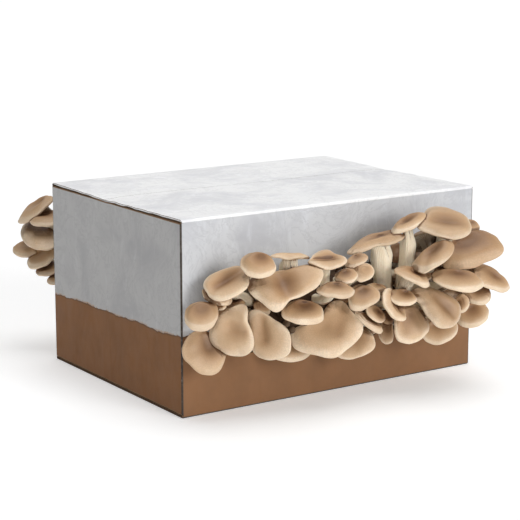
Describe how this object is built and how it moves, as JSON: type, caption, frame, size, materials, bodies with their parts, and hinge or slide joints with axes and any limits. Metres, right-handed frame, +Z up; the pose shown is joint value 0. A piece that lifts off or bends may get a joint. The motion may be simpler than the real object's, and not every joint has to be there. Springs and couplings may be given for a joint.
{
  "type": "oyster mushroom grow kit",
  "caption": "Closed carton holding a substrate block, with clusters of tan oyster mushrooms growing out of a window in its long front and back sides.",
  "frame": {"origin": "middle of the carton's underside, on the surface it stands on", "axes": "+Z up; +X along the carton's long side, to the right as one faces the front window; -Y out of the front window and +Y out of the back window"},
  "size_m": [0.3918, 0.4876, 0.205],
  "materials": {
    "printed_board": "matt printed corrugated board, pale plaster pattern over a brown band, brown raw edges",
    "clear_film": "clear thin film",
    "grown_substrate": "straw and sawdust grown through with white mycelium",
    "mushroom_foot": "cream, fibrous, matt",
    "oyster_mushroom": "satin tan skin, paler at the margin, cream gills and stem"
  },
  "bodies": {
    "root": {"back_cluster_foot": "mushroom_foot", "back_mushroom_front": "oyster_mushroom", "back_mushroom_hanging": "oyster_mushroom", "back_mushroom_high": "oyster_mushroom", "back_mushroom_large": "oyster_mushroom", "back_mushroom_leftmost": "oyster_mushroom", "back_mushroom_low": "oyster_mushroom", "back_mushroom_lowest": "oyster_mushroom", "back_mushroom_middle": "oyster_mushroom", "back_mushroom_right_round": "oyster_mushroom", "back_mushroom_right_small": "oyster_mushroom", "back_mushroom_slanted": "oyster_mushroom", "back_mushroom_small_over": "oyster_mushroom", "back_mushroom_under_high": "oyster_mushroom", "back_mushroom_wide": "oyster_mushroom", "carton": "printed_board", "film_bag": "clear_film", "front_cluster_foot": "mushroom_foot", "front_mushroom_behind_bottom": "oyster_mushroom", "front_mushroom_bottom_large": "oyster_mushroom", "front_mushroom_crescent": "oyster_mushroom", "front_mushroom_curled_pale": "oyster_mushroom", "front_mushroom_curled_rim": "oyster_mushroom", "front_mushroom_edge_on_top": "oyster_mushroom", "front_mushroom_far_left_round": "oyster_mushroom", "front_mushroom_far_right": "oyster_mushroom", "front_mushroom_far_top_sliver": "oyster_mushroom", "front_mushroom_flat_oval": "oyster_mushroom", "front_mushroom_gilled_behind": "oyster_mushroom", "front_mushroom_hidden_sliver": "oyster_mushroom", "front_mushroom_high_slanted": "oyster_mushroom", "front_mushroom_left_horned": "oyster_mushroom", "front_mushroom_left_rolled": "oyster_mushroom", "front_mushroom_long_side_view": "oyster_mushroom", "front_mushroom_low_strip": "oyster_mushroom", "front_mushroom_low_tongue": "oyster_mushroom", "front_mushroom_lower_left_lobed": "oyster_mushroom", "front_mushroom_middle_low": "oyster_mushroom", "front_mushroom_middle_oval": "oyster_mushroom", "front_mushroom_middle_round": "oyster_mushroom", "front_mushroom_middle_saddle": "oyster_mushroom", "front_mushroom_pale_rim": "oyster_mushroom", "front_mushroom_right_edge_low": "oyster_mushroom", "front_mushroom_right_edge_oval": "oyster_mushroom", "front_mushroom_right_folded": "oyster_mushroom", "front_mushroom_right_inner": "oyster_mushroom", "front_mushroom_right_large": "oyster_mushroom", "front_mushroom_right_low": "oyster_mushroom", "front_mushroom_right_low_tall": "oyster_mushroom", "front_mushroom_right_middle_oval": "oyster_mushroom", "front_mushroom_right_slanted": "oyster_mushroom", "front_mushroom_right_wide": "oyster_mushroom", "front_mushroom_small_over_pale": "oyster_mushroom", "front_mushroom_small_tongue": "oyster_mushroom", "front_mushroom_top_funnel": "oyster_mushroom", "front_mushroom_top_left_convex": "oyster_mushroom", "front_mushroom_top_right_large": "oyster_mushroom", "front_mushroom_under_left_sliver": "oyster_mushroom", "front_mushroom_upper_left_funnel": "oyster_mushroom", "substrate_block": "grown_substrate"}
  },
  "joints": []
}
